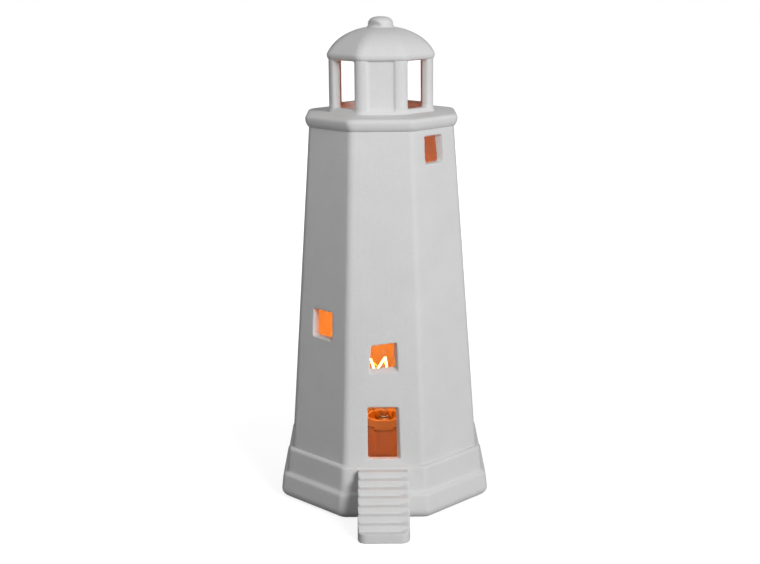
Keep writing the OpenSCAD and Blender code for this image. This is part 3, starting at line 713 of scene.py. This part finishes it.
# A thumb pressed its front left a little flat while it was soft.
thumb, thumb_reach, thumb_share = Vector((-0.62, -0.68, -0.40)).normalized(), 6.3 * mm, 0.8
knob_middle = Vector((0, tower_y, (crown_z + 3.6) * mm))
for vertex in knob.data.vertices:
    proud = thumb.dot(vertex.co - knob_middle) - thumb_reach
    if vertex.co.z > (crown_z + 0.6) * mm and proud > 0:
        vertex.co -= thumb * proud * thumb_share
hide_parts("roof_knob")
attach(knob, "lighthouse")

# ---- The lamp holder ----
# A push-in holder: an eight-sided body with a flange and the cap with the cord's
# inlet, both of reddish grey plastic, and a round ivory collar locked on by lugs.

collar_cup_r, lug_top = 11.4, 2.3


def plastic_finish(name, darker, lighter, painted_cup_shade=None):
    """Thermoplastic with a fine spark-eroded mould texture. Inside the cup round
    the bulb its colour may be painted darker, as painted shade."""
    finish = Finish(name, Specular_IOR_Level=0.4)
    grain = finish.grain(2600, 1)
    clouds = finish.grain(90)
    shade = finish.blend(clouds, darker, lighter)
    # Inside the cup round the bulb the colour is painted darker, as painted shade.
    if painted_cup_shade:
        at = finish.place.parts()
        reach = finish.point(at, at.out("Y") - tower_y, 0).vector("LENGTH").out("Value")
        shade = finish.blend(reach.maths("LESS_THAN", reach, collar_cup_r * mm), shade, painted_cup_shade)
    return finish.feed(
        Base_Color=shade, Roughness=0.42 + 0.12 * grain, Normal=finish.relief(grain, 0.02 * mm))


# The ivory collar gets painted shade: its cup is painted darker inside.
ivory_plastic = plastic_finish(
    "ivory plastic", (0.68, 0.60, 0.55), (0.75, 0.66, 0.60), painted_cup_shade=(0.44, 0.30, 0.19))
grey_plastic = plastic_finish("grey plastic", (0.56, 0.42, 0.46), (0.68, 0.51, 0.54))


def dressed(node, finish, edge=0.25, seam=0.0):
    """A machined or moulded part of the frame, with its edges broken by edge
    millimetres and its round faces shaded round. Seam is how far the joint below
    it, with its lugs, stands open."""
    thing = frame["nodes"][node]
    shape = bmesh.new()
    shape.from_mesh(thing.data)
    bmesh.ops.remove_doubles(shape, verts=shape.verts, dist=0.002 * mm)
    bmesh.ops.dissolve_limit(
        shape, angle_limit=math.radians(0.6), verts=shape.verts, edges=shape.edges)
    foot = min(vertex.co.z for vertex in shape.verts)
    for vertex in shape.verts:
        if vertex.co.z < foot + lug_top * mm:
            vertex.co.z += seam * mm
    piece = new_object(node + " bare", mesh_from(shape, node + " bare"))
    bevel = piece.modifiers.new("edge", "BEVEL")
    bevel.width = edge * mm
    bevel.segments = 2
    bevel.limit_method = "ANGLE"
    bevel.angle_limit = math.radians(35)
    piece = settle(piece, node + "_made")
    piece.data.materials.clear()
    piece.data.materials.append(finish)
    shade_round(piece, 32)
    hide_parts(node)
    return piece


for node, finish, seam in (
        ("lamp_holder_body", grey_plastic, 0), ("holder_collar", ivory_plastic, 0.6),
        ("holder_cap", grey_plastic, 0)):
    piece = dressed(node, finish, seam=seam)
    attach(piece, "lamp_holder")

# ---- The holder's springs and rivets ----
# Two stainless leaf springs, each riveted by its upper tab, bulge out below and
# grip the hole in the floor.


def steel_finish(name, shade, rough):
    """Rolled metal, with fine drawn lines and slight clouding."""
    finish = Finish(name, Metallic=1.0)
    lines = finish.grain(3000)
    clouds = finish.grain(160)
    darker = tuple(part * 0.86 for part in shade)
    return finish.feed(
        Base_Color=finish.blend(clouds, darker, shade),
        Roughness=rough + 0.12 * lines,
        Normal=finish.relief(lines, 0.01 * mm))


spring_steel = steel_finish("spring steel", (0.62, 0.63, 0.65), rough=0.28)
for node, edge in (("leaf_springs", 0.06), ("spring_rivets", 0.15)):
    piece = dressed(node, spring_steel, edge)
    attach(piece, "lamp_holder")

# ---- The socket's contacts ----
# The screw shell is drawn from thin brass and rolled with a round thread of ten
# turns to the inch. Below it a fibre disc carries the centre contact and tags.

brass = steel_finish("brass", (0.66, 0.46, 0.17), rough=0.24)
pitch, thread_depth, thread_fade, section_step = 2.54, 0.22, 1.2, 0.21


def screw_sleeve_tree():
    """Sweeps a closed section round the axis and rolls a round thread into it.
    Each point of the section holds the radius, the share of the thread's depth
    and the height, as x, y and z."""
    net = Growth("screw sleeve", {
        "Section": "Geometry", "Turn steps": "Int", "Pitch": "Float", "Depth": "Float",
        "Axis behind": "Float"})
    turn_steps = net.given.out("Turn steps")
    grid, plain_r, column = net.skin(turn_steps + 1)
    height = plain_r.out("Z")
    turn = 2 * math.pi * column / turn_steps
    roll = (2 * math.pi * height / net.given.out("Pitch") - turn).cos()
    radius = plain_r + net.given.out("Depth") * plain_r.out("Y") * roll
    return net.made(net.swept(grid, radius * turn.cos(), radius * turn.sin(), height))


screw_sleeve = screw_sleeve_tree()


def sleeve(name, section):
    """A rolled brass sleeve of (radius, share of the thread, height) points."""
    piece = grown(name, [(r * mm, share, z * mm) for r, share, z in section], screw_sleeve, {
        "Turn steps": 72, "Pitch": pitch * mm, "Depth": thread_depth * mm,
        "Axis behind": tower_y, "Finish": brass})
    face_outwards(piece.data)
    shade_round(piece, 50)
    return piece


def threaded(start, end, low, high, radius):
    """Section points along a threaded wall, with the thread fading at its ends."""
    points = []
    count = int(abs(end - start) / section_step)
    for i in range(count + 1):
        z = start + (end - start) * i / count
        share = max(0.0, min(1.0, (z - low) / thread_fade, (high - z) / thread_fade))
        points.append((radius, share, z))
    return points


shell_foot, body_top, shell_t = 25.6, 41.4, 0.4
shell_inner_r, shell_outer_r, shell_lip_r, shell_rim_r = 6.15, 6.45, 4.2, 8.95
shell_rim = body_top + 3.0
thread_start, thread_end = shell_foot + 1.5, shell_rim - 1
shell = sleeve(
    "thread_shell",
    threaded(shell_rim + 0.1, shell_foot + shell_t, thread_start, thread_end, shell_inner_r)
    + [(shell_lip_r, 0, shell_foot + shell_t), (shell_lip_r, 0, shell_foot)]
    + threaded(shell_foot, shell_rim, thread_start, thread_end, shell_outer_r)
    + [(shell_rim_r, 0, shell_rim), (shell_rim_r, 0, shell_rim + shell_t),
       (shell_outer_r + 0.05, 0, shell_rim + shell_t)])
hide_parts("screw_shell")
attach(shell, "lamp_holder")


def fibre_finish():
    """Red-brown vulcanised fibre, with its pressed strands."""
    finish = Finish("vulcanised fibre")
    strands = finish.grain(1400, 3)
    return finish.feed(
        Base_Color=finish.blend(strands, (0.16, 0.06, 0.03), (0.26, 0.10, 0.05)),
        Roughness=0.6 + 0.2 * strands,
        Normal=finish.relief(strands, 0.03 * mm))


for node, finish, edge, slot in (
        ("centre_contact", brass, 0.08, "brass"), ("wire_terminals", brass, 0.08, "brass"),
        ("contact_insulator", fibre_finish(), 0.15, "fibre")):
    piece = dressed(node, finish, edge)
    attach(piece, "lamp_holder")

# ---- The bulb's cap ----
# A brass cap with a rolled thread, a ring of black glass below it and a drop of
# solder for the centre contact.

bulb_z = 27.6
cap_foot, cap_top = bulb_z + 3.65, body_top + 3.8
cap_outer_r, cap_inner_r, cap_skirt_r = 5.62, 5.35, 6.85
thread_start, thread_end = cap_foot + 0.4, cap_top - 0.4
cap = sleeve(
    "bulb_thread_cap",
    threaded(cap_foot, cap_top, thread_start, thread_end, cap_outer_r)
    + [(cap_skirt_r - 0.3, 0, cap_top + 0.15), (cap_skirt_r, 0, cap_top + 0.5),
       (cap_skirt_r, 0, cap_top + 2.1), (cap_skirt_r - 0.15, 0, cap_top + 2.4),
       (cap_skirt_r - 0.35, 0, cap_top + 2.4), (cap_skirt_r - 0.35, 0, cap_top + 0.6),
       (cap_inner_r - 0.05, 0, cap_top + 0.35)]
    + threaded(cap_top, cap_foot, thread_start, thread_end, cap_inner_r))
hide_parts("bulb_cap")
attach(cap, "bulb")

solder = steel_finish("solder", (0.55, 0.55, 0.56), rough=0.35)
tip_r, tip_h = 2.4, 1.2
tip_outline = [
    (tip_r * math.sin(angle), bulb_z + tip_h / 2 * (1 - math.cos(angle)))
    for angle in arc(0, 90, 8)]
tip_outline += [(tip_r, bulb_z + tip_h), (0, bulb_z + tip_h)]
tip = turned("solder_drop", tip_outline, solder, turns=48)
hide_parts("bulb_tip_contact")
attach(tip, "bulb_tip")


def black_glass_finish():
    """Black moulded glass, with slight flow marks."""
    finish = Finish("black glass")
    flow = finish.grain(300)
    return finish.feed(
        Base_Color=finish.blend(flow, (0.010, 0.010, 0.012), (0.030, 0.030, 0.034)),
        Roughness=0.12 + 0.1 * flow)


piece = dressed("bulb_insulator", black_glass_finish(), 0.2)
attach(piece, "bulb")

# ---- The bulb's glass ----
# Clear blown glass drawn out to a torpedo's blunt tip, cemented in the cap. The
# light inside it passes the glass without a shadow.

neck_z, neck_r, belly_r, glass_t, bulb_top = cap_top + 0.35, 6.2, 16.0, 0.8, bulb_z + 98
belly_share, fullness = 0.44, 0.85


def glass_r(share, neck, belly):
    """The blown glass's radius at a share of its height."""
    if share < belly_share:
        swell = 0.5 - 0.5 * math.cos(math.pi * share / belly_share)
        return neck + (belly - neck) * swell ** fullness
    past = (share - belly_share) / (1 - belly_share)
    return belly * max(0.0, math.cos(math.pi / 2 * past)) ** fullness


def glass_line(neck, belly, height, count=56):
    """Points along one side of the blown glass, closer together at the tip."""
    points = []
    for step in range(count + 1):
        share = math.sin(math.pi / 2 * step / count)
        points.append((glass_r(share, neck, belly) if step < count else 0, neck_z + height * share))
    return points


def glass_finish(name, tint):
    """Clear lamp glass, with a faint waver from the blowing."""
    finish = Finish(name, Base_Color=(*tint, 1), Roughness=0.0, IOR=1.48, Transmission_Weight=1.0)
    return finish.feed(Normal=finish.relief(finish.grain(70, 1), 0.15 * mm))


clear_glass = glass_finish("clear glass", (0.99, 0.99, 0.985))
outside = glass_line(neck_r, belly_r, bulb_top - neck_z)
inside = glass_line(neck_r - glass_t, belly_r - glass_t, bulb_top - neck_z - 2 * glass_t)
glass_outline = outside + list(reversed(inside)) + [outside[0]]
glass = turned("blown_glass", glass_outline, clear_glass, turns=112)
face_outwards(glass.data)
glass.visible_shadow = False
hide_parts("bulb_glass")
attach(glass, "bulb")

# ---- The bulb's stem ----
# A flared tube with a flattened pinch that seals the wires, and above it a rod
# with the button that holds the filament's supports.

filament_z = bulb_z + 63
stem_top = filament_z - 18
stem_tube_r, flare_r, flare_t, press_h, button_r, rod_r = 2.6, 5.4, 0.8, 6.0, 1.5, 0.9
button_z = stem_top + press_h + 3.0
stem_outline = [(0, neck_z), (flare_r, neck_z), (flare_r, neck_z + flare_t)]
for angle in arc(0, 90, 12):
    stem_outline.append((
        stem_tube_r + 2.2 * (1 - math.sin(angle)),
        neck_z + flare_t + 6 * (1 - math.cos(angle))))
stem_outline += [
    (stem_tube_r, stem_top - 3), (2.45, stem_top), (1.9, stem_top + 3),
    (rod_r + 0.1, stem_top + press_h), (rod_r, button_z - 1.3)]
for angle in arc(-60, 90, 10):
    stem_outline.append((button_r * math.cos(angle), button_z + button_r * math.sin(angle)))
stem = turned("glass_stem", stem_outline, clear_glass, turns=64)
pinch_rise, pinch_half, pinch_wider, pinch_thinner = 2.5, 4.5, 0.55, 0.5
pinch = bmesh.new()
pinch.from_mesh(stem.data)
for vertex in pinch.verts:
    soft = ease(1 - abs(vertex.co.z / mm - stem_top - pinch_rise) / pinch_half)
    vertex.co.x *= 1 + pinch_wider * soft
    vertex.co.y = tower_y + (vertex.co.y - tower_y) * (1 - pinch_thinner * soft)
pinch.to_mesh(stem.data)
pinch.free()
stem.visible_shadow = False
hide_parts("bulb_stem")
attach(stem, "bulb")

# ---- The filament, its supports and the leads ----
# A coiled tungsten wire strung in a zigzag round a ring: its ends are clamped in
# the two leads, and fine wires fused into the button hold its bends.

low, high = filament_z - 4.25, filament_z + 4.25
ring_r, lead_x = 9.0, 2.2


def on_ring(angle, height):
    """A bend's place on the ring, at an angle to the right of the front."""
    turn = math.radians(angle)
    return Vector((ring_r * math.sin(turn), -ring_r * math.cos(turn), height))


bends = [
    on_ring(-120, low), on_ring(-90, high - 4.0), on_ring(-46, low - 0.8),
    on_ring(-31, low - 0.8), on_ring(8, high), Vector((lead_x, -lead_x, low))]


def placed(point):
    """A point in millimetres from the tower's axis, in the frame's metres."""
    return Vector((point.x * mm, tower_y + point.y * mm, point.z * mm))


def coiled_wire_tree():
    """Winds a wire of a given thickness round the path that it is given."""
    net = Growth("coiled wire", {
        "Path": "Geometry", "Coil radius": "Float", "Coil pitch": "Float",
        "Wire radius": "Float"})
    line = net.node("GeometryNodeMeshToCurve", None, {"Mesh": net.given})
    fine = net.node("GeometryNodeResampleCurve", {"mode": "LENGTH"}, {
        "Curve": line, "Length": net.given.out("Coil pitch") / 9})
    along = net.node("GeometryNodeSplineParameter", out="Length")
    turn = 2 * math.pi * along / net.given.out("Coil pitch")
    tangent = net.node("GeometryNodeInputTangent")
    side = tangent.vector("CROSS_PRODUCT", (0.31, 0.93, 0.19)).vector("NORMALIZE")
    other = tangent.vector("CROSS_PRODUCT", side)
    radius = net.given.out("Coil radius")
    offset = side.vector("SCALE", Scale=radius * turn.cos()).vector(
        "ADD", other.vector("SCALE", Scale=radius * turn.sin()))
    wound = net.node("GeometryNodeSetPosition", None, {"Geometry": fine, "Offset": offset})
    ring = net.node("GeometryNodeCurvePrimitiveCircle", {"mode": "RADIUS"}, {
        "Resolution": 6, "Radius": net.given.out("Wire radius")})
    tube = net.node("GeometryNodeCurveToMesh", None, {
        "Curve": wound, "Profile Curve": ring, "Fill Caps": True})
    return net.made(tube)


def glowing_finish():
    """Tungsten at full heat, its glow varying a little at random along the coil."""
    finish = Finish("hot tungsten", Roughness=0.6, Emission_Strength=9.0)
    heat = finish.grain(900, 1)
    finish.material.cycles.emission_sampling = "NONE"
    return finish.feed(
        Base_Color=finish.blend(heat, (0.20, 0.16, 0.12), (0.30, 0.24, 0.18)),
        Emission_Color=finish.blend(heat, (1.0, 0.55, 0.16), (1.0, 0.70, 0.28)))


def wound_path(points, count=14, bend_r=0.9):
    """The bends joined by straight runs, each bend rounded by a small arc."""
    path = [points[0]]
    for before, bend, after in zip(points, points[1:], points[2:]):
        back, on = (before - bend), (after - bend)
        start = bend + back.normalized() * min(bend_r, back.length / 3)
        end = bend + on.normalized() * min(bend_r, on.length / 3)
        for step in range(count + 1):
            t = step / count
            path.append(start * (1 - t) ** 2 + bend * 2 * t * (1 - t) + end * t ** 2)
    path.append(points[-1])
    return path


coil_r, coil_pitch, tungsten_r = 0.52, 0.70, 0.24
path = [placed(point) for point in wound_path(bends)]
filament = grown("hot_filament", path, coiled_wire_tree(), {
    "Coil radius": coil_r * mm, "Coil pitch": coil_pitch * mm, "Wire radius": tungsten_r * mm,
    "Finish": glowing_finish()}, edges=[(i, i + 1) for i in range(len(path) - 1)])
shade_round(filament)
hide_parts("filament")
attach(filament, "bulb")

nickel = steel_finish("nickel wire", (0.55, 0.52, 0.47), rough=0.3)


def wires(name, runs, radius, node, sides=12):
    """Round nickel wires, each a run through its points."""
    shape = bmesh.new()
    for run in runs:
        rings = []
        for i, point in enumerate(run):
            ahead = (run[min(i + 1, len(run) - 1)] - run[max(i - 1, 0)]).normalized()
            side = ahead.orthogonal().normalized()
            up = ahead.cross(side)
            rings.append([
                shape.verts.new(placed(point + radius * (
                    side * math.cos(math.tau * k / sides)
                    + up * math.sin(math.tau * k / sides))))
                for k in range(sides)])
        for one, two in zip(rings, rings[1:]):
            for k in range(sides):
                j = (k + 1) % sides
                shape.faces.new((one[k], one[j], two[j], two[k]))
        shape.faces.new(rings[0])
        shape.faces.new(rings[-1])
    bmesh.ops.recalc_face_normals(shape, faces=shape.faces)
    for face in shape.faces:
        face.smooth = len(face.verts) == 4
    piece = new_object(name, mesh_from(shape, name))
    piece.data.materials.append(nickel)
    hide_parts(node)
    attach(piece, "bulb")


lead_runs, lead_r, support_r = [], 0.4, 0.25
for side, end in ((-1, bends[0]), (1, bends[-1])):
    foot = Vector((side * lead_x, 0, stem_top + press_h - 1.2))
    lead_runs.append([
        foot, foot.lerp(end, 0.5) + Vector((0, 0, 0.6)), end - (end - foot).normalized() * 0.3])
wires("leads", lead_runs, lead_r, "lead_wires")
support_runs = []
for index in (1, 2, 4):
    bend = bends[index]
    outwards = Vector((bend.x, bend.y, 0)).normalized()
    root = outwards * rod_r + Vector((0, 0, button_z))
    support_runs.append([root, root.lerp(bend, 0.55), bend - (bend - root).normalized() * 0.3])
wires("supports", support_runs, support_r, "filament_supports")


def warm_light(name, place, power, colour, radius, unseen_by):
    """A round light inside the tower, which these rays don't show."""
    lamp = bpy.data.lights.new(name, "POINT")
    lamp.energy = power
    lamp.color = colour
    lamp.shadow_soft_size = radius * mm
    light = new_object(name, lamp)
    light.location = placed(Vector(place))
    for ray in unseen_by:
        setattr(light, "visible_" + ray, False)
    return light


glow = warm_light(
    "filament light", (-1, -3, filament_z), power=0.098, colour=(1.0, 0.225, 0.014), radius=7,
    unseen_by=("camera", "transmission"))
glow.parent = frame["bodies"]["bulb"]

# The white walls hand its light on up the shaft, redder with every turn.
warm_light(
    "light in the shaft", (0, 0, 205), power=0.028, colour=(1.0, 0.17, 0.05), radius=20,
    unseen_by=("camera", "glossy", "transmission"))

# ---- The studio ----
# A white sweep, one large soft lamp to the right of the camera, a weak one up on
# the left, one behind and faint even light from all round. Where only the camera
# looks, the sweep is pure white.


def to_the_eye(net):
    """1 for what the camera sees, also in metal and through glass, and else 0."""
    looks = net.node("ShaderNodeLightPath", out="Is Camera Ray")
    seen = looks.maths("MAXIMUM", looks, looks.out("Is Glossy Ray"))
    return seen.maths("MAXIMUM", seen, looks.out("Is Transmission Ray"))


floor_half, shadow_reach = 6, 0.6


def sweep_finish():
    """Grey paper to the light, and white to the eye. Its white thins out near the
    tower, so that the tower's shadow stays."""
    finish = Finish("white paper", Roughness=0.9)
    fibres = finish.grain(60)
    finish.feed(
        Base_Color=finish.blend(fibres, (0.30, 0.30, 0.30), (0.32, 0.32, 0.32)),
        Roughness=0.86 + 0.08 * fibres)
    away = finish.place.vector("LENGTH").out("Value")
    bright = 0.82 + 0.18 * away.maths("MINIMUM", away / shadow_reach, 1)
    tone = finish.node("ShaderNodeCombineColor", None, {0: bright, 1: bright, 2: bright})
    white = finish.node("ShaderNodeEmission", None, {
        "Color": tone, "Strength": to_the_eye(finish)})
    both = finish.node("ShaderNodeAddShader", None, {
        0: Wire(finish, finish.surface.outputs[0]), 1: white})
    finish.tree.links.new(both.socket, finish.tree.nodes["Material Output"].inputs["Surface"])
    return finish.material


floor_mesh = bpy.data.meshes.new("floor")
floor_mesh.from_pydata([
    (x * floor_half, y * floor_half, 0) for x, y in ((-1, -1), (1, -1), (1, 1), (-1, 1))],
    [], [(0, 1, 2, 3)])
floor_mesh.materials.append(sweep_finish())
floor = new_object("floor", floor_mesh)

world = bpy.data.worlds.new("studio")
bpy.context.scene.world = world
world.use_nodes = True
ambient = 0.09
background = world.node_tree.nodes["Background"]
background.inputs["Color"].default_value = (1, 1, 1, 1)
strength = ambient + (1 - ambient) * to_the_eye(Net(world.node_tree))
world.node_tree.links.new(strength.socket, background.inputs["Strength"])


def soft_lamp(name, azimuth, elevation, distance, size, power):
    """A square lamp that faces the tower's middle, azimuth degrees to the right
    of the front."""
    lamp = bpy.data.lights.new(name, "AREA")
    lamp.size = size
    lamp.energy = power
    place = new_object(name, lamp)
    turn, lift = math.radians(azimuth), math.radians(elevation)
    middle = Vector((0, tower_y, 0.16))
    towards = Vector((
        math.sin(turn) * math.cos(lift), -math.cos(turn) * math.cos(lift), math.sin(lift)))
    place.location = middle + distance * towards
    place.rotation_euler = towards.to_track_quat("Z", "Y").to_euler()
    for ray in ("camera", "glossy", "transmission"):
        setattr(place, "visible_" + ray, False)


soft_lamp("key", azimuth=33, elevation=24, distance=1.9, size=0.75, power=28.6)
soft_lamp("fill", azimuth=-32, elevation=45, distance=0.564, size=0.4, power=0.60)
soft_lamp("back", azimuth=180, elevation=18, distance=1.9, size=0.75, power=9)

# ---- The camera ----
# It stands 0.94 m in front of the tower, a little above its top, and looks down.
# Its lens and its small turns are those that fit the tower's lines in the picture.

camera_side, camera_front, camera_height = 0.28 * mm, 938.3 * mm, 370.2 * mm
camera_pan, camera_dip, camera_roll = 0.136, 13.392, -0.534
camera_data = bpy.data.cameras.new("camera")
camera_data.sensor_width = 36
camera_data.lens = 65.64
camera = new_object("camera", camera_data)
camera.matrix_world = (
    Matrix.Translation((camera_side, tower_y - camera_front, camera_height))
    @ Matrix.Rotation(math.radians(camera_pan), 4, "Z")
    @ Matrix.Rotation(math.radians(90 - camera_dip), 4, "X")
    @ Matrix.Rotation(math.radians(camera_roll), 4, "Z"))
bpy.context.scene.camera = camera
bpy.context.scene.view_settings.view_transform = "Standard"
